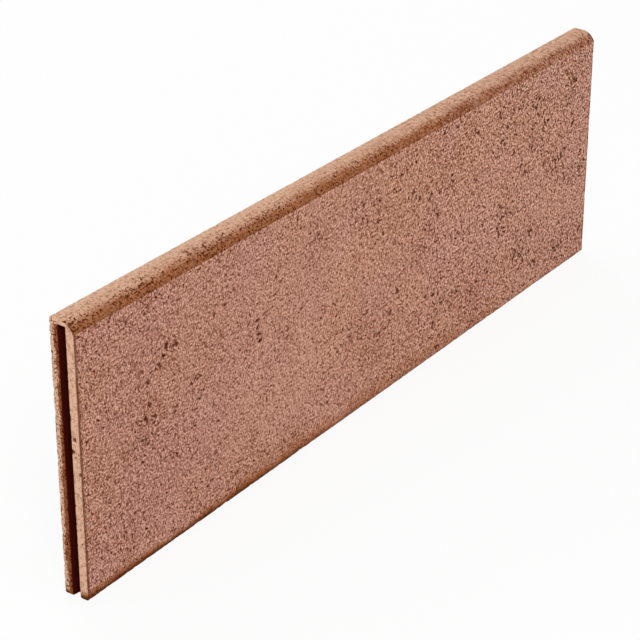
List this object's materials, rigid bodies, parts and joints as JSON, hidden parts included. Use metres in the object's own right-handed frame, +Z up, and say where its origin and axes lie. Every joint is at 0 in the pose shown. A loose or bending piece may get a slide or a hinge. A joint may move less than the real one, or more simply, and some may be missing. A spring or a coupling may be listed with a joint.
{
  "type": "concrete kerb stone",
  "caption": "Thin upright kerb stone of coloured concrete with a rounded top front edge, a full-height groove in one end and a matching tongue on the other.",
  "frame": {"origin": "middle of the foot the stone stands on, half way along its length without the tongue and half way through its thickness", "axes": "+X along the stone from the grooved end to the tongued end, -Y out of the front face, +Z up"},
  "size_m": [1.0065, 0.03, 0.3],
  "materials": {
    "red_concrete": "dry-pressed red-brown concrete with fine open pores and a sandy grain, unpainted and matt"
  },
  "bodies": {
    "root": {"kerb_stone": "red_concrete"}
  },
  "joints": []
}
